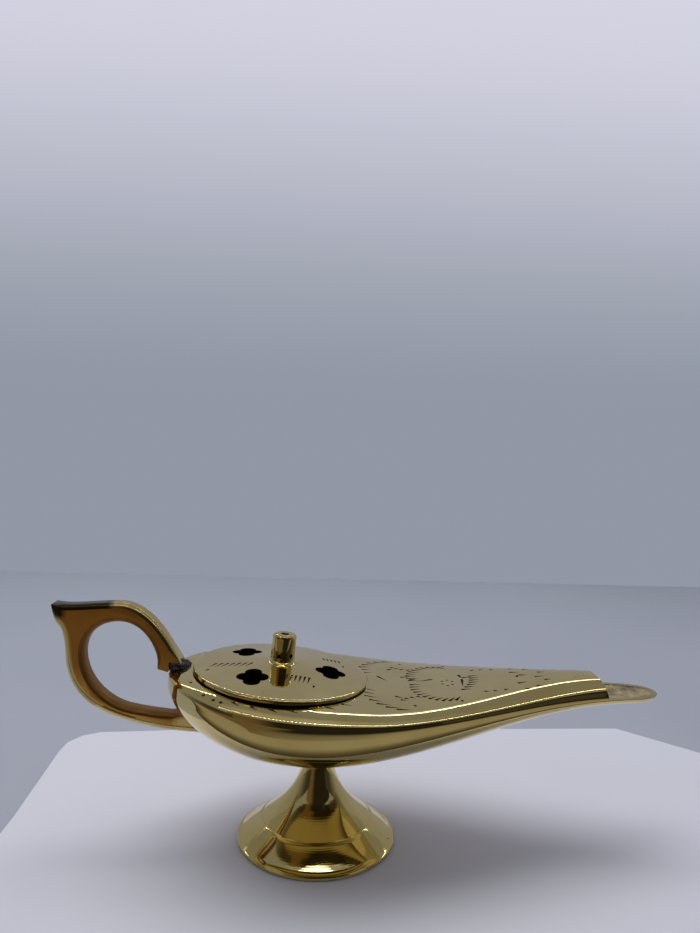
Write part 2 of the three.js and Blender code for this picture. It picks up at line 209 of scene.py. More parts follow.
# Screw, washer and nut: plain steel hardware that holds the bowl down on the foot.
# The domed head lies in a spot face of the bowl; washer and nut sit in the hollow of the foot.
LUMP_SCALE = 480


def dull_finish(name, metallic, tones, tone_scale, gloss, gloss_scale, detail=4.0, lump_depth=0.0):
    """Unpolished metal: two tones in patches, an uneven gloss, and lumps of a depth in metres."""
    finish, tree, shader, spot = start_finish(name)
    plug(tree, shader, {
        "Metallic": metallic,
        "Base Color": shade_between(tree, mottle(tree, spot, tone_scale, 0, 1, detail), *tones),
        "Roughness": mottle(tree, spot, gloss_scale, *gloss),
    })
    if lump_depth:
        lumps = mottle(tree, spot, LUMP_SCALE, 0, 1)
        plug(tree, shader, {"Normal": emboss(tree, lumps, lump_depth)})
    return finish


bare_steel = dull_finish("bare_steel", 1.0, ((0.56, 0.55, 0.52), (0.33, 0.31, 0.28)), 400, (0.25, 0.5), 900)
FLAT_SHARE = 0.87
NUT_CHAMFER = 0.3


def hex_nut(corner, bore, bottom, top):
    """A six-sided nut with turned-off corners and a round bore."""
    blank = turn([
        (bore, bottom), (corner * FLAT_SHARE, bottom), (corner, bottom + NUT_CHAMFER),
        (corner, top - NUT_CHAMFER), (corner * FLAT_SHARE, top), (bore, top),
    ], 48)
    for side in range(6):
        outward = Matrix.Rotation(side * math.pi / 3, 3, "Z") @ Vector((1, 0, 0))
        cut = bmesh.ops.bisect_plane(blank, geom=blank.verts[:] + blank.edges[:] + blank.faces[:],
                                     plane_co=outward * corner * FLAT_SHARE * MM, plane_no=outward,
                                     clear_outer=True)
        rim = [part for part in cut["geom_cut"] if isinstance(part, bmesh.types.BMEdge)]
        bmesh.ops.contextual_create(blank, geom=rim)
    bmesh.ops.recalc_face_normals(blank, faces=blank.faces)
    return blank


screw_line = [
    (0.0, 8.0), (1.7, 8.0), (2.0, 8.3), (2.0, 26.7), (3.6, 26.7), (3.6, 27.9),
    *bow((3.6, 27.9), (3.5, 28.7), (2.6, 29.1), (0.0, 29.1), 7)[1:],
]
washer_line = [(2.3, 12.4), (3.75, 12.4), (3.9, 12.55), (3.9, 13.05), (3.75, 13.2), (2.3, 13.2)]
screw = make_piece(turn(screw_line, 40, ring=False), "foot_screw", bare_steel, place=at_foot)
washer = make_piece(turn(washer_line, 48), "foot_screw_washer", bare_steel, place=at_foot)
nut = make_piece(hex_nut(4.0, 2.3, 9.2, 12.4), "foot_screw_nut", bare_steel, place=at_foot, crease=20)
for piece, node in ((screw, "foot_bolt"), (washer, "foot_washer"), (nut, "foot_nut")):
    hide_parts(node)
    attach(piece, "lamp")

# Body: two brass castings brazed along their widest line, then filed and polished until no seam shows.
# The flat deck carries the lid, and the hollow narrows to a spout whose roof ends before its floor.
def smooth_line(*knots):
    """A line through (place, value, slope) knots, straight on beyond the first and the last."""
    def value_at(x):
        if x <= knots[0][0] or x >= knots[-1][0]:
            place, value, slope = knots[0] if x <= knots[0][0] else knots[-1]
            return value + slope * (x - place)
        after = next(i for i, knot in enumerate(knots) if x < knot[0])
        (start, low, leave), (end, high, arrive) = knots[after - 1], knots[after]
        span = end - start
        t = (x - start) / span
        bend = span * (leave * t * (1 - t) ** 2 + arrive * t * t * (t - 1))
        return low + (high - low) * t * t * (3 - 2 * t) + bend
    return value_at


def round_off(x, start, end, squareness):
    """Share of the full size that is left where a form rounds off from start to end."""
    share = min(max((x - start) / (end - start), 0), 1)
    return (1 - share ** squareness) ** (1 / squareness)


LID_X, WIDEST_X, BACK_X, SPOUT_X, TIP_X = -11.8, -4.5, -44.2, 84.0, 101.43
BACK_Z, DECK_Z, KEEL_Z, TROUGH_Z = 46.5, 48.1, 25.4, 44.3
WIDEST, LID_SPAN, TIP_LENGTH = 31.28, 25.4, 7.5
LID_TILT = math.radians(4.36)
deck_fall = -math.tan(LID_TILT)
seam_line = smooth_line(
    (BACK_X, BACK_Z, -0.1), (LID_X, 41.6, -0.06), (SPOUT_X, TROUGH_Z, 0.03), (TIP_X, TROUGH_Z, 0.0),
)
deck_line = smooth_line(
    (LID_X, DECK_Z, deck_fall), (13.6, DECK_Z + LID_SPAN * deck_fall, deck_fall), (SPOUT_X, 49.25, 0.0),
)
keel_line = smooth_line((BACK_X, KEEL_Z, 0.0), (0.0, KEEL_Z, 0.0), (SPOUT_X, 41.05, 0.04))
width_line = smooth_line((BACK_X, WIDEST, 0.0), (WIDEST_X, WIDEST, 0.0), (SPOUT_X, 8.1, -0.16))
square_line = smooth_line((LID_X, 5.0, 0.0), (SPOUT_X, 2.6, 0.0))


def section_sizes(x, grow):
    """Half width, rise above the seam, drop below it and squareness of the body at x."""
    back, tip = BACK_X - grow, TIP_X + grow
    ahead = round_off(x, tip - TIP_LENGTH, tip, 2.4)
    half = (width_line(x) + grow) * round_off(x, WIDEST_X, back, 2.0) * ahead
    rise = (deck_line(x) + grow - seam_line(x)) * round_off(x, LID_X, back, 5.0) * ahead
    drop = (seam_line(x) - keel_line(x) + grow) * round_off(x, 0.0, back, 1.75) * ahead
    return half, rise, drop, square_line(x)


def ring_edges(loop):
    """The edges of a closed ring of vertices, each once and in turn."""
    return list(dict.fromkeys(edge for vert in loop for edge in vert.link_edges))


def loft_body(grow, around, back_steps, middle_steps, tip_steps):
    """Skins the body's cross-sections, grown outwards by the given millimetres, and closes both ends."""
    back, tip = BACK_X - grow, TIP_X + grow
    quarter = math.pi / 2
    places = [LID_X - (LID_X - back) * math.cos(step / back_steps * quarter) for step in range(1, back_steps)]
    places += [LID_X + (tip - TIP_LENGTH - LID_X) * step / middle_steps for step in range(middle_steps)]
    places += [tip - TIP_LENGTH * (1 - math.sin(step / tip_steps * quarter)) for step in range(tip_steps)]
    bm = bmesh.new()
    rings = []
    for x in places:
        half, rise, drop, square = section_sizes(x, grow)
        loop = bmesh.ops.create_circle(bm, segments=around, radius=1.0)["verts"]
        for step, vert in enumerate(loop):
            angle = 2 * math.pi * step / around
            side, up = math.cos(angle), math.sin(angle)
            power = square if up > 0 else 2.0
            spread = (abs(side) ** power + abs(up) ** power) ** (-1 / power)
            height = seam_line(x) + up * spread * (rise if up > 0 else drop)
            vert.co = Vector((x, half * side * spread, height)) * MM
        rings.append(ring_edges(loop))
    for ring, beside in zip(rings, rings[1:]):
        bmesh.ops.bridge_loops(bm, edges=ring + beside)
    for ring, x in ((rings[0], back), (rings[-1], tip)):
        skirt = bmesh.ops.extrude_edge_only(bm, edges=ring)["geom"]
        end = [part for part in skirt if isinstance(part, bmesh.types.BMVert)]
        bmesh.ops.pointmerge(bm, verts=end, merge_co=Vector((x, 0, seam_line(x))) * MM)
    bmesh.ops.recalc_face_normals(bm, faces=bm.faces)
    return bm


def carve(piece, tools, crease=32):
    """Cuts all the tools out of a piece at once; each leaves its own finish on what it cuts."""
    bench = bpy.data.collections.new("bench")
    for tool in tools:
        bench.objects.link(tool)
    cut = piece.modifiers.new("cut", "BOOLEAN")
    cut.operand_type, cut.collection = "COLLECTION", bench
    cut.operation, cut.solver, cut.material_mode = "DIFFERENCE", "EXACT", "TRANSFER"
    shaped = piece.evaluated_get(bpy.context.evaluated_depsgraph_get())
    blank, piece.data = piece.data, bpy.data.meshes.new_from_object(shaped)
    piece.modifiers.clear()
    piece.data.name = piece.name
    for mesh in [blank] + [tool.data for tool in tools]:
        bpy.data.meshes.remove(mesh)
    bpy.data.collections.remove(bench)
    piece.data.shade_smooth()
    piece.data.set_sharp_from_angle(angle=math.radians(crease))


def rod(radius, bottom, top, place=Matrix(), steps=96):
    """A round tool between two heights in millimetres."""
    bm = bmesh.new()
    bmesh.ops.create_cone(bm, cap_ends=True, segments=steps, radius1=radius * MM, radius2=radius * MM,
                          depth=(top - bottom) * MM,
                          matrix=Matrix.Translation((0, 0, (top + bottom) / 2 * MM)))
    bm.transform(place)
    return bm


def distance_along(tree, spot, way):
    """How far along one axis a place on the piece lies."""
    return add_node(tree, "ShaderNodeSeparateXYZ", {"Vector": spot}).outputs[way]


SMOKE_END, CLEAN_START = 0.045, 0.082
SAND_DEPTH = 0.00012


def casting_finish(name):
    """Metal as it left the sand, grainy, grey-pink and golden, blackened by smoke deep inside."""
    finish, tree, shader, spot = start_finish(name)
    bare = shade_between(tree, mottle(tree, spot, 420, 0, 1, 6.0), (0.56, 0.47, 0.26), (0.20, 0.165, 0.11))
    soot = shade_between(tree, mottle(tree, spot, 150, 0, 1), (0.22, 0.16, 0.085), (0.06, 0.045, 0.03))
    open_air = ramp(tree, distance_along(tree, spot, "X"), SMOKE_END, CLEAN_START)
    plug(tree, shader, {
        "Metallic": 0.55,
        "Base Color": shade_between(tree, open_air, soot, bare),
        "Roughness": mottle(tree, spot, 700, 0.34, 0.6),
        "Normal": emboss(tree, mottle(tree, spot, 1100, 0, 1, 6.0), SAND_DEPTH),
    })
    return finish


buffed_brass = brass_finish(
    "buffed_brass", (0.76, 0.625, 0.285), (0.66, 0.53, 0.215), 0.02, 0.05, None, 0.035,
)
cast_brass = casting_finish("cast_brass")
sawn_brass = brass_finish("sawn_brass", (0.60, 0.50, 0.24), (0.42, 0.34, 0.16), 0.16, 0.32, None, 0.06)
WALL = 1.5
skin = loft_body(0.0, 120, 44, 96, 26)
hollow = bpy.data.meshes.new("hollow")
inside = loft_body(-WALL, 72, 26, 60, 16)
bmesh.ops.reverse_faces(inside, faces=inside.faces)
for face in inside.faces:
    face.material_index = 1
inside.to_mesh(hollow)
inside.free()
skin.from_mesh(hollow)
bpy.data.meshes.remove(hollow)
body = make_piece(skin, "body", buffed_brass, cast_brass, place=at_foot)
SEAT_Z = 47.75
lid_place = at_foot @ Matrix.Translation((LID_X * MM, 0, SEAT_Z * MM)) @ Matrix.Rotation(LID_TILT, 4, "Y")

SAW_TOP, SAW_HALF_WIDTH = 64.3, 0.02
roof_saw = bmesh.new()
saw_line = [
    (SPOUT_X, TROUGH_Z), (94.0, TROUGH_Z), (110.0, TROUGH_Z), (110.0, SAW_TOP), (SPOUT_X - 6.06, SAW_TOP),
]
saw_face = roof_saw.faces.new([roof_saw.verts.new((x * MM, -SAW_HALF_WIDTH, z * MM)) for x, z in saw_line])
swept = bmesh.ops.extrude_face_region(roof_saw, geom=[saw_face])["geom"]
far_side = [part for part in swept if isinstance(part, bmesh.types.BMVert)]
bmesh.ops.translate(roof_saw, vec=(0, 2 * SAW_HALF_WIDTH, 0), verts=far_side)
bmesh.ops.recalc_face_normals(roof_saw, faces=roof_saw.faces)


def deck_height(x, y):
    """Height of the body's upper skin at a place on the deck."""
    half, rise, _, square = section_sizes(x, 0.0)
    return seam_line(x) + rise * (1 - min(abs(y) / half, 0.99) ** square) ** (1 / square)


# The graver cuts and punch marks are coloured near black-brown, much darker than the brass round them.
dark_cut_finish = dull_finish(
    "dark_cut_finish", 0.9, ((0.09, 0.06, 0.028), (0.025, 0.017, 0.009)), 900, (0.3, 0.55), 1300,
)
PROUD, RUN_OUT = 0.1, 0.03
HALF_SHARE, HEEL_SHARE = 0.6, 0.15


def nick(surface, x, y, heading, length, width=1.05, depth=0.5, place=at_foot):
    """A graver's tick: broad and deep where the tool was pushed in, running out to a point."""
    ahead = Vector((math.cos(math.radians(heading)), math.sin(math.radians(heading))))
    across = Vector((-ahead.y, ahead.x)) * width * HALF_SHARE
    start = Vector((x, y))
    end = start + ahead * length
    low, high = surface(*start), surface(*end)
    bm = bmesh.new()
    for spot, height in ((start + across, low + PROUD), (start - across, low + PROUD), (end, high + PROUD),
                         (end, high - RUN_OUT), (start + ahead * HEEL_SHARE * length, low - depth)):
        bm.verts.new((spot.x * MM, spot.y * MM, height * MM))
    bmesh.ops.convex_hull(bm, input=bm.verts)
    bmesh.ops.recalc_face_normals(bm, faces=bm.faces)
    return make_piece(bm, "graver", dark_cut_finish, place=place)


def dot(surface, x, y, radius=0.5, place=at_foot):
    """A round punch mark."""
    bm = bmesh.new()
    middle = Matrix.Translation((x * MM, y * MM, (surface(x, y) + 0.25 * radius) * MM))
    bmesh.ops.create_icosphere(bm, subdivisions=2, radius=radius * MM, matrix=middle)
    return make_piece(bm, "punch", dark_cut_finish, place=place)


def feather(middle, reach, start, end, count, heading, spread, length):
    """Ticks set along an arc about a middle point, their points turning evenly from tick to tick."""
    ticks = []
    for step in range(count):
        share = step / (count - 1)
        angle = math.radians(start + (end - start) * share)
        ticks.append((middle[0] + reach[0] * math.cos(angle), middle[1] + reach[1] * math.sin(angle),
                      heading + spread * share, length))
    return ticks


side_ticks = feather((LID_X, 0), (26.5, 26.5), -116, -50, 7, -42, 34, 2.9)
side_ticks += feather((23.0, -9.5), (11.5, 11.5), 165, 255, 7, -22, 24, 4.4)
side_ticks += feather((35.0, -4.5), (9.2, 10.4), 165, 285, 11, 2, 52, 3.4)
side_ticks += feather((29.0, -17.0), (8.0, 6.0), 105, 150, 4, -38, 20, 1.8)
side_ticks += [(20.8, -11.4, -34, 2.7), (46.7, -9.2, -12, 1.7), (49.4, -9.2, -8, 1.5), (52.6, -8.9, 12, 1.6),
               (57.6, -4.8, 11, 3.4), (58.7, -9.0, 8, 2.1), (62.5, -7.3, 6, 1.8), (66.0, -3.4, 4, 2.4)]
middle_ticks = [(17.1, 4.9, -55, 5.0), (24.2, 4.4, 24, 3.4), (26.6, 2.4, 22, 3.6), (33.8, 2.6, 199, 5.6),
                (42.1, 5.6, -82, 4.0), (42.5, 1.8, -99, 6.6), (42.9, 3.0, -3, 2.6), (58.6, 0.4, 50, 2.4),
                (60.0, 1.7, -4, 2.4), (64.0, -0.4, 0, 3.0)]
middle_ticks += [(44.8 - 0.12 * row * row, 3.8 - 1.8 * row, 3, 3.3) for row in range(7)]
side_dots = [(-35.8, -13.6), (-31.2, -20.9), (-28.3, -23.1), (-26.2, -24.2), (39.2, -14.9), (25.6, -17.9)]
deck_tools = [nick(deck_height, *tick) for tick in middle_ticks]
for x, y, heading, length in side_ticks:
    deck_tools.append(nick(deck_height, x, y, heading, length))
    deck_tools.append(nick(deck_height, x, -y, -heading, length))
for x, y in side_dots:
    deck_tools.append(dot(deck_height, x, y))
    deck_tools.append(dot(deck_height, x, -y))
for petal in range(6):
    turned = math.radians(60 * petal + 20)
    deck_tools.append(dot(deck_height, 37.6 + 1.7 * math.cos(turned), -1.0 + 2.4 * math.sin(turned), 0.42))
OPENING_RADIUS, LAND_RADIUS = 21.8, 26.0
carve(body, deck_tools + [
    make_piece(rod(OPENING_RADIUS, -5.5, 30.0, lid_place), "opening_tool", buffed_brass),
    make_piece(rod(LAND_RADIUS, 0.0, 30.0, lid_place, 160), "land_tool", buffed_brass),
    make_piece(roof_saw, "roof_saw", sawn_brass, place=at_foot),
])
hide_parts("bowl_shell", "deck_shell")
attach(body, "lamp")

# Handle: a flat brass casting bent to a loop with a thumb rest, browned on its flats and inside the loop,
# where the inner wall is darker still as painted shade.
# Its outer edge is filed round and polished, more below than above; the rest's point and the top beside it
# are painted dark, a painted dark reflection.
# Both arms are brazed to the back of the body, and the end of the lower one was filed bright afterwards.
REACH, RISE = 31.7, 20.3
TIP_TURN = math.radians(75)
inner_line = [
    ((0.047, 0.202), (0.057, 0.478), (0.208, 0.882), (0.451, 0.882)),
    ((0.451, 0.882), (0.659, 0.882), (0.808, 0.665), (0.808, 0.355)),
    ((0.808, 0.355), (0.808, -0.015), (0.625, -0.369), (0.375, -0.478)),
    ((0.375, -0.478), (0.205, -0.537), (0.032, -0.567), (-0.132, -0.586)),
]
to_point = [
    ((-0.543, -0.724), (-0.259, -0.714), (0.013, -0.69), (0.281, -0.581)),
    ((0.281, -0.581), (0.656, -0.433), (0.858, -0.187), (0.883, 0.296)),
    ((0.883, 0.296), (0.893, 0.5), (0.905, 0.66), (0.955, 0.775)),
    ((0.955, 0.775), (0.985, 0.81), (1.002, 0.85), (1.004, 0.965)),
]
from_point = [
    ((1.004, 0.965), (0.839, 0.945), (0.64, 1.0), (0.457, 1.0)),
    ((0.457, 1.0), (0.24, 1.0), (0.054, 0.591), (-0.057, 0.246)),
]
lower_end, upper_end = (-0.511, -0.596), (-0.139, 0.084)
BEND_POINTS = 14


def follow(bends):
    """One run of points in millimetres behind the body and above its seam, through joined bows."""
    run = []
    for bend in bends:
        run += bow(*[(behind * REACH, up * RISE) for behind, up in bend], BEND_POINTS)[:-1]
    return run + [(bends[-1][-1][0] * REACH, bends[-1][-1][1] * RISE)]


def grow_line(line, amount):
    """The closed line moved outwards by the amount, with its corners kept sharp."""
    grown = []
    for before, here, after in zip(line[-1:] + line[:-1], line, line[1:] + line[:1]):
        ahead = (Vector(after) - Vector(here)).normalized()
        behind = (Vector(here) - Vector(before)).normalized()
        corner = (ahead + behind).normalized()
        reach = amount / max(0.71, corner.dot(ahead))
        grown.append(Vector(here) + Vector((corner.y, -corner.x)) * reach)
    return grown


SWELL, LEAST_ROUND = 1.6, 0.25


def round_handle(half_thickness, outer_round, upper_round, inner_round, inner_fall, steps):
    """Stacks outlines from the middle plane to each flat, drawn in along a quarter circle or ellipse."""
    inner, outer = follow(inner_line), follow(to_point + from_point)
    flat = inner + [(lower_end[0] * REACH, lower_end[1] * RISE)]
    flat += outer + [(upper_end[0] * REACH, upper_end[1] * RISE)]
    edge = grow_line(flat, SWELL)
    inward = [(b - a).normalized() for a, b in zip(edge, grow_line(flat, SWELL - 1.0))]
    first = len(inner) + 1
    point_place = first + len(to_point) * (BEND_POINTS - 1)
    inner_edge, outer_edge = edge[:len(inner)], edge[first:first + len(outer)]
    rounds, falls = [], []
    for i, point in enumerate(edge):
        outside, inside = first <= i < first + len(outer), i < len(inner)
        run = outer_edge if outside else inner_edge
        room = 0.5 * min((point - run[0]).length, (point - run[-1]).length) * (outside or inside)
        if outside:
            room = min(room, 0.9 * (point - edge[point_place]).length * math.tan(TIP_TURN / 2))
        wanted = inner_round if not outside else outer_round if i < point_place else upper_round
        rounds.append(min(wanted, max(LEAST_ROUND, room)))
        falls.append(rounds[-1] * (inner_fall / inner_round if inside else 1.0))
    bm = bmesh.new()
    stack = []
    for side in (-1, 1):
        levels = []
        for step in range(steps + 1):
            turned_in = step / steps * math.pi / 2
            loop = bmesh.ops.create_circle(bm, segments=len(edge), radius=1.0)["verts"]
            for vert, point, pull, size, fall in zip(loop, edge, inward, rounds, falls):
                there = point + pull * size * (1 - math.cos(turned_in))
                across = side * (half_thickness - fall * (1 - math.sin(turned_in)))
                vert.co = Vector((BACK_X - there.x, across, BACK_Z + there.y)) * MM
            levels.append(ring_edges(loop))
        stack = levels[::-1] + stack if side < 0 else stack + levels
        bm.faces.new(loop)
    for level, beside in zip(stack, stack[1:]):
        bmesh.ops.bridge_loops(bm, edges=level + beside)
    bmesh.ops.recalc_face_normals(bm, faces=bm.faces)
    outer_spots = [Vector((BACK_X - point.x, BACK_Z + point.y)) * MM for point in outer_edge]
    inner_spots = [Vector((BACK_X - point.x, BACK_Z + point.y)) * MM for point in inner_edge]
    for side_face in bm.faces:
        middle = side_face.calc_center_median()
        flat_middle = Vector((middle.x, middle.z))
        to_outer = min((flat_middle - spot).length for spot in outer_spots)
        to_inner = min((flat_middle - spot).length for spot in inner_spots)
        # Caps take the browned flats, faces nearer the inner edge take the inner finish with its painted
        # shade, and the rest take the filed edge.
        side_face.material_index = 1 if len(side_face.verts) > 4 else 2 if to_inner < to_outer else 0
    return bm


def strokes_of(tree, spot, scale, detail):
    """Strokes of the file, stretched by a different scale along each axis."""
    stretched = add_node(tree, "ShaderNodeMapping", {"Vector": spot, "Scale": scale})
    return add_node(tree, "ShaderNodeTexNoise", {
        "Vector": stretched.outputs["Vector"], "Scale": 1.0, "Detail": detail,
    }).outputs["Fac"]


def file_marks(tree, spot):
    """Short strokes of the file along the bar."""
    return strokes_of(tree, spot, (900.0, 120.0, 160.0), 3.0)


def painted_dark_tip(limit):
    """Where a dark reflection is painted on the thumb rest: near its top and behind the limit, in metres."""
    def share(tree, spot):
        behind = ramp(tree, distance_along(tree, spot, "X"), limit, limit - 0.002)
        above = ramp(tree, distance_along(tree, spot, "Z"), 0.0632, 0.0646)
        return reckon(tree, "MULTIPLY", behind, above)
    return share


def filed_end(tree, spot):
    """Where the lower arm was filed bright after brazing, with a ragged edge of strokes."""
    strokes = strokes_of(tree, spot, (2600.0, 200.0, 260.0), 2.0)
    ragged = reckon(tree, "MULTIPLY_ADD", strokes, 0.009, distance_along(tree, spot, "X"))
    ahead = ramp(tree, ragged, -0.0500, -0.0485)
    low = ramp(tree, distance_along(tree, spot, "Z"), 0.043, 0.041)
    return reckon(tree, "MULTIPLY", ahead, low)


# Painted dark reflection: the tone laid on the point of the thumb rest and on the top beside it.
PAINTED_TIP_DARK = (0.05, 0.038, 0.02)
FILED_GOLD = (0.72, 0.55, 0.22)
filed_brass = brass_finish(
    "filed_brass", (0.70, 0.55, 0.24), (0.55, 0.41, 0.15), 0.14, 0.26, file_marks, 0.03,
    [(painted_dark_tip(-0.0714), PAINTED_TIP_DARK), (filed_end, FILED_GOLD)],
)
tawny_brass = brass_finish(
    "tawny_brass", (0.66, 0.36, 0.10), (0.52, 0.27, 0.065), 0.12, 0.24, file_marks, 0.06,
    [(painted_dark_tip(-0.0846), PAINTED_TIP_DARK), (filed_end, FILED_GOLD)],
)
# Inside the loop: browned brass, made darker and duller still as painted shade.
browned_shaded_brass = brass_finish(
    "browned_shaded_brass", (0.34, 0.175, 0.052), (0.23, 0.115, 0.034), 0.4, 0.55, file_marks, 0.06,
)
BRAZE_GAP = 0.35
HANDLE_CREASE = 40
handle_shape = round_handle(
    half_thickness=3.0, outer_round=2.4, upper_round=1.5, inner_round=1.5, inner_fall=2.1, steps=8,
)
handle = make_piece(handle_shape, "handle_loop", filed_brass, tawny_brass, browned_shaded_brass,
                    place=at_foot, crease=HANDLE_CREASE)
body_tool = make_piece(loft_body(BRAZE_GAP, 72, 24, 48, 10), "body_tool", tawny_brass, place=at_foot)
carve(handle, [body_tool], HANDLE_CREASE)
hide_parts("handle")
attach(handle, "lamp")

# Braze joints: lumps of hard solder run round the two ends of the handle.
# The upper one was left scorched and dark, the lower one was cleaned and dulled.
def braze_finish(name, tones, gloss):
    """Solder with a lumpy skin, from bare metal to scorched scale."""
    return dull_finish(name, 0.85, tones, 520, gloss, 800, detail=5.0, lump_depth=0.0004)


def solder_lump(node, name, finish, sizes, tilt, shift):
    """A lump over a joint: a ball pressed to size, turned along the joint and left uneven."""
    low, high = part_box(node)
    bm = bmesh.new()
    bmesh.ops.create_icosphere(bm, subdivisions=5, radius=1.0)
    for vert in bm.verts:
        swell = 1 + 0.16 * noise.noise(vert.co * 2.3) + 0.06 * noise.noise(vert.co * 6.1)
        vert.co = Vector((vert.co.x * sizes[0], vert.co.y * sizes[1], vert.co.z * sizes[2])) * swell * MM
    place = Matrix.Translation((low + high) / 2 + Vector(shift) * MM) @ Matrix.Rotation(tilt, 4, "Y")
    lump = make_piece(bm, name, finish, place=place)
    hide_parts(node)
    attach(lump, "lamp")


scorched = braze_finish("scorched_braze", ((0.085, 0.066, 0.075), (0.012, 0.008, 0.011)), (0.12, 0.34))
cleaned = braze_finish("cleaned_braze", ((0.60, 0.46, 0.22), (0.34, 0.25, 0.13)), (0.2, 0.4))
solder_lump("handle_braze_top", "braze_upper", scorched, (4.4, 3.9, 2.2), math.radians(20), (0.5, 0, 0.4))
solder_lump("handle_braze_bottom", "braze_lower", cleaned, (7.6, 3.7, 1.2), math.radians(27), (0, 0, 0))

# Lid: a spun brass disc that rises in a shallow cone to the knob, pierced by three four-lobed vents.
# A collar soldered under it drops into the opening of the deck and keeps it from sliding.
lid_flare = bow((5.4, 3.8), (4.1, 3.95), (3.6, 4.15), (3.55, 5.5), 10)
lid_line = [
    (18.8, 0.3), (25.25, 0.3), (25.4, 0.45), (25.4, 1.0), (25.34, 1.22), (25.18, 1.4), (24.95, 1.52),
    (24.6, 1.59), (24.3, 1.627), (20.0, 2.12), (14.0, 2.81), *lid_flare,
    (1.8, 5.5), (1.8, 4.3), *[(radius + 0.3, height - 1.2) for radius, height in lid_flare[::-1]],
]
lid = make_piece(turn(lid_line, 192), "lid_disc", buffed_brass, place=lid_place)
CONE_RADIUS, CONE_Z, CONE_FALL, CONE_RUN = 8.0, 3.5, 2.0, 17.4


def lid_height(x, y):
    """Height of the lid's cone at a place in the lid's own frame."""
    return CONE_Z - (math.hypot(x, y) - CONE_RADIUS) * CONE_FALL / CONE_RUN


VENT_REACH, LOBE_RADIUS = 14.6, 2.4
LID_CREASE = 27
lid_tools = []
for degrees in (139, 239, 350):
    angle = math.radians(degrees)
    middle = Vector((VENT_REACH * math.cos(angle), VENT_REACH * math.sin(angle), 0)) * MM
    for across, along in ((0, 0), (2.1, 0), (-2.1, 0), (0, 2.9), (0, -2.9)):
        lobe_place = lid_place @ Matrix.Translation(middle + Vector((across, along, 0)) * MM)
        lobe = rod(LOBE_RADIUS, -6.0, 12.0, lobe_place, 40)
        lid_tools.append(make_piece(lobe, "vent_drill", buffed_brass))
for x, y, heading, step, count, length in ((2.1, -9.4, -98, 1.25, 6, 4.6), (-8.4, -2.3, -122, -1.7, 7, 3.9),
                                           (12.4, 10.6, -82, 1.2, 5, 3.0)):
    for stroke in range(count):
        lid_tools.append(nick(lid_height, x + stroke * step, y, heading, length, 0.8, 0.4, lid_place))
    lid_tools.append(nick(lid_height, x + count * step, y - 5.0, heading, 1.6, 0.9, 0.4, lid_place))
carve(lid, lid_tools, LID_CREASE)
stained_brass = brass_finish("stained_brass", (0.46, 0.34, 0.14), (0.20, 0.14, 0.06), 0.2, 0.42, None, 0.1)
collar_line = [(20.0, -4.0), (20.2, -4.2), (21.0, -4.2), (21.2, -4.0), (21.2, 0.3), (20.0, 0.3)]
collar = make_piece(turn(collar_line, 128), "lid_collar_ring", stained_brass, place=lid_place)
for piece, node in ((lid, "lid"), (collar, "lid_collar")):
    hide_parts(node)
    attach(piece, "lid")

# Knob: a short cylinder turned from brass, with a blind hole in its top and a threaded tail below.
# The tail goes down through the lid, and a steel nut on it, under the disc, holds the knob.
knob_line = [
    (0.0, 1.0), (1.3, 1.0), (1.5, 1.2), (1.5, 5.5), (3.35, 5.5), (3.5, 5.65),
    *bow((3.5, 11.1), (3.5, 11.75), (3.2, 12.1), (2.5, 12.1), 7),
    (1.45, 12.1), (1.25, 11.9), (1.25, 7.1), (0.0, 6.8),
]
knob = make_piece(turn(knob_line, 96, ring=False), "knob_turned", buffed_brass, place=lid_place)
knob_nut = make_piece(hex_nut(3.2, 1.8, 1.6, 4.0), "knob_tail_nut", bare_steel, place=lid_place, crease=20)
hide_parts("knob")
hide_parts("knob_nut")
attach(knob, "lid")
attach(knob_nut, "lid")

# Studio: a pale sheet on a grey table before a pale wall, lit softly from above.
# Round it stand cards and two strips of small lamps that only the metal mirrors: the strips draw the
# highlights along the rims, and the dim cards give the body its bands and the foot its dark neck.
SENSOR_MM, FOCAL_PIXELS, PICTURE_PIXELS = 36.0, 701, 933
camera_data = bpy.data.cameras.new("camera")
camera_data.sensor_width = SENSOR_MM
camera_data.lens = SENSOR_MM * FOCAL_PIXELS / PICTURE_PIXELS
camera_data.clip_start = 0.01
camera = bpy.data.objects.new("camera", camera_data)
bpy.context.scene.collection.objects.link(camera)
yaw, pitch, roll = math.radians(3.0), math.radians(1.79), math.radians(1.88)
camera.matrix_world = (
    Matrix.Translation(foot_axis + Vector((-4.154, -205.36, 116.0)) * MM) @ Matrix.Rotation(-yaw, 4, "Z")
    @ Matrix.Rotation(math.pi / 2 - pitch, 4, "X") @ Matrix.Rotation(roll, 4, "Z")
)
bpy.context.scene.camera = camera


def rectangle(low, high):
    """The corners of a flat rectangle between two opposite corners, with its sides along the axes."""
    first, second = [axis for axis in range(3) if low[axis] != high[axis]]
    corners = [list(low), list(low), list(high), list(low)]
    corners[1][first] = high[first]
    corners[3][second] = high[second]
    return corners


def card(name, finish, corners):
    """A flat card between its corners, which is no part of the lamp."""
    bm = bmesh.new()
    bm.faces.new([bm.verts.new(corner) for corner in corners])
    sheet = make_piece(bm, name, finish)
    return sheet


def mirrored_card(name, finish, low, high):
    """A card that the camera and the matt cards don't see, so that it shows in the metal alone."""
    sheet = card(name, finish, rectangle(low, high))
    sheet.visible_camera = False
    sheet.visible_shadow = False
    sheet.visible_diffuse = False


def matt_finish(name, tone, other_tone):
    """Matt card with a faint unevenness."""
    finish, tree, shader, spot = start_finish(name)
    paper = shade_between(tree, mottle(tree, spot, 9, 0, 1), tone, other_tone)
    plug(tree, shader, {"Base Color": paper, "Roughness": 0.9, "Specular IOR Level": 0.1})
    return finish


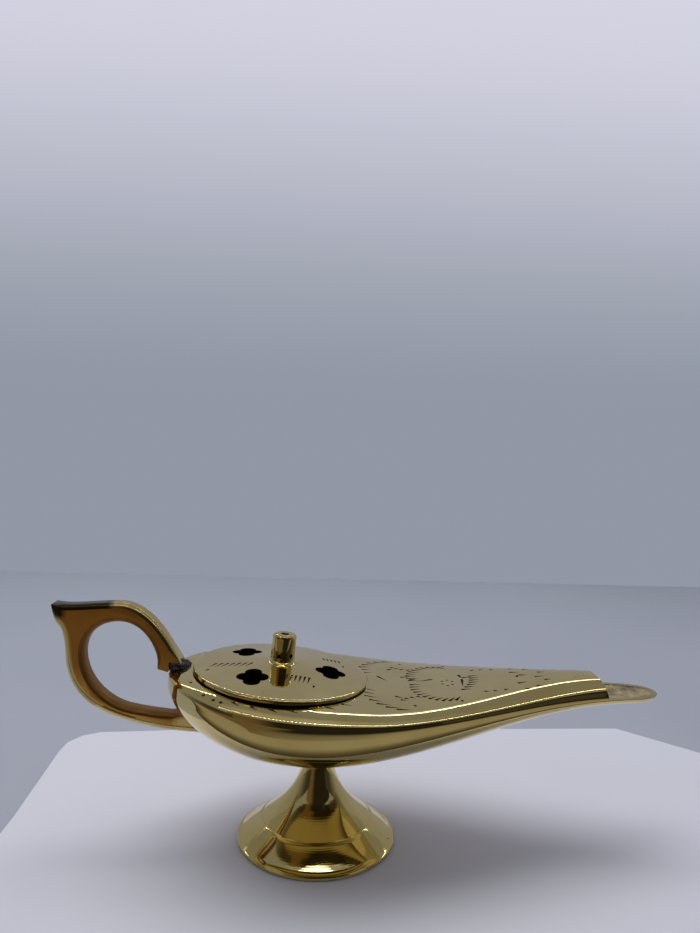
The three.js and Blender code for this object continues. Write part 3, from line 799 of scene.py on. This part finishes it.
def glow_finish(name, low_tone, high_tone, low, high, way="Z", clears=False):
    """A card that shines, from one tone at its low place to another, or to clear, at its high place."""
    finish, tree, shader, spot = start_finish(name)
    tree.nodes.remove(shader)
    share = add_node(tree, "ShaderNodeMapRange", {
        "Value": distance_along(tree, spot, way), "From Min": low, "From Max": high,
    }, interpolation_type="SMOOTHSTEP").outputs["Result"]
    tone = shade_between(tree, share, low_tone, high_tone)
    shine = add_node(tree, "ShaderNodeEmission", {"Color": tone}).outputs["Emission"]
    if clears:
        clear = add_node(tree, "ShaderNodeBsdfTransparent").outputs["BSDF"]
        shine = add_node(tree, "ShaderNodeMixShader", {0: share, 1: shine, 2: clear}).outputs["Shader"]
    plug(tree, tree.nodes["Material Output"], {"Surface": shine})
    return finish


FLOOR_Z, SHEET_Z, APRON_Z, MAT_Z = -0.001, -0.0002, 0.0005, 0.001
floor_finish = matt_finish("floor_card", (0.38, 0.40, 0.46), (0.40, 0.42, 0.48))
card("floor", floor_finish, rectangle((-0.8, -0.8, FLOOR_Z), (0.8, 0.4, FLOOR_Z)))
sheet_corners = [
    (-0.100, -0.3), (0.146, -0.3), (0.146, 0.051), (0.115, 0.081), (-0.070, 0.074), (-0.096, 0.0715),
    (-0.102, 0.068), (-0.1055, 0.062), (-0.106, 0.054), (-0.1035, 0.01),
]
sheet_finish = matt_finish("sheet_card", (0.66, 0.66, 0.73), (0.69, 0.69, 0.76))
card("sheet", sheet_finish, [(x, y, SHEET_Z) for x, y in sheet_corners])
wall_glow = glow_finish("wall_card", (0.285, 0.315, 0.375), (0.66, 0.655, 0.765), 0.15, 0.52)
wall = card("wall", wall_glow, rectangle((-0.8, 0.4, -0.05), (0.8, 0.4, 1.2)))
wall.visible_glossy = False
BACK_TONE = (0.325, 0.33, 0.375)
back_glow = glow_finish("back_card", BACK_TONE, (0.24, 0.245, 0.27), 0.3, 0.48)
mirrored_card("back", back_glow, (-0.5, 0.39, 0), (0.5, 0.39, 1.0))
side_glow = glow_finish("side_card", (0.05, 0.048, 0.045), (0.30, 0.305, 0.34), -0.25, 0.25, "Y")
for x in (-0.5, 0.5):
    mirrored_card("side", side_glow, (x, -0.5, 0), (x, 0.39, 0.3))
front_glow = glow_finish("front_card", (0.15, 0.10, 0.06), (0.02, 0.0175, 0.014), -0.34, -0.12, "X")
mirrored_card("front", front_glow, (-0.6, -0.5, 0), (0.8, -0.5, 0.6))
APRON_TONE = (0.32, 0.295, 0.26)
apron_glow = glow_finish("apron_card", (0.02, 0.017, 0.013), APRON_TONE, -0.17, -0.095, "Y")
mirrored_card("front_apron", apron_glow, (-0.6, -0.5, APRON_Z), (0.6, -0.07, APRON_Z))
shade_glow = glow_finish("shade_card", APRON_TONE, (0.07, 0.06, 0.045), -0.062, -0.03, "Y")
mirrored_card("front_shade", shade_glow, (-0.6, -0.07, APRON_Z), (0.6, -0.028, APRON_Z))
WARM_TONE = (0.15, 0.115, 0.077)
warm_glow = glow_finish("warm_card", WARM_TONE, WARM_TONE, -0.1, -0.03, "X", True)
mirrored_card("front_mat", warm_glow, (-0.6, -0.5, MAT_Z), (-0.03, -0.11, MAT_Z))
VALUE_FROM, VALUE_TO = 2, 3


def bead_finish(name, gap_glow, bead_glow, even_glow, spacing):
    """A strip of small lamps in a row along X, evenly spaced, that run together to the right."""
    finish, tree, shader, spot = start_finish(name)
    tree.nodes.remove(shader)
    row = add_node(tree, "ShaderNodeTexWave", {"Vector": spot, "Scale": math.pi / (10 * spacing)},
                   wave_type="BANDS", bands_direction="X", wave_profile="SIN").outputs["Fac"]
    bead = ramp(tree, row, 0.45, 1.0, gap_glow, bead_glow)
    merged = ramp(tree, distance_along(tree, spot, "X"), 0.0, 0.07)
    sockets = {"Factor": merged, VALUE_FROM: bead, VALUE_TO: even_glow}
    level = add_node(tree, "ShaderNodeMix", sockets, data_type="FLOAT").outputs[0]
    shine = add_node(tree, "ShaderNodeEmission", {"Strength": level}).outputs["Emission"]
    plug(tree, tree.nodes["Material Output"], {"Surface": shine})
    return finish


wash_glow = glow_finish("strip_card", BACK_TONE, (0.95, 0.93, 0.90), 0.315, 0.36)
mirrored_card("strip_wash", wash_glow, (-0.5, 0.362, 0.315), (0.5, 0.362, 0.36))
beads = bead_finish("bead_strip", 0.7, 26.0, 12.0, 0.011)
mirrored_card("strip_back", beads, (-0.3, 0.36, 0.356), (0.4, 0.36, 0.364))
mirrored_card("strip_front", beads, (-0.3, -0.134, 0.38), (0.4, -0.127, 0.38))

light_place, light_aim = Vector((-0.12, 0.2, 0.88)), Vector((0, 0.02, 0))
light_data = bpy.data.lights.new("ceiling_light", "AREA")
light_data.shape = "RECTANGLE"
light_data.size, light_data.size_y = 0.9, 0.6
light_data.energy = 5.8
light = bpy.data.objects.new("ceiling_light", light_data)
bpy.context.scene.collection.objects.link(light)
light.location = light_place
light.rotation_euler = (light_aim - light_place).to_track_quat("-Z", "Y").to_euler()
light.visible_camera = False
light.visible_glossy = False
world = bpy.data.worlds.new("studio")
bpy.context.scene.world = world
world.use_nodes = True
tree = world.node_tree
look = add_node(tree, "ShaderNodeTexCoord").outputs["Generated"]
overhead = ramp(tree, distance_along(tree, look, "Z"), 0.88, 1.0)
sky = shade_between(tree, overhead, (0.25, 0.255, 0.275), (0.42, 0.42, 0.43))
plug(tree, tree.nodes["Background"], {"Color": sky})
bpy.context.scene.view_settings.view_transform = "Standard"
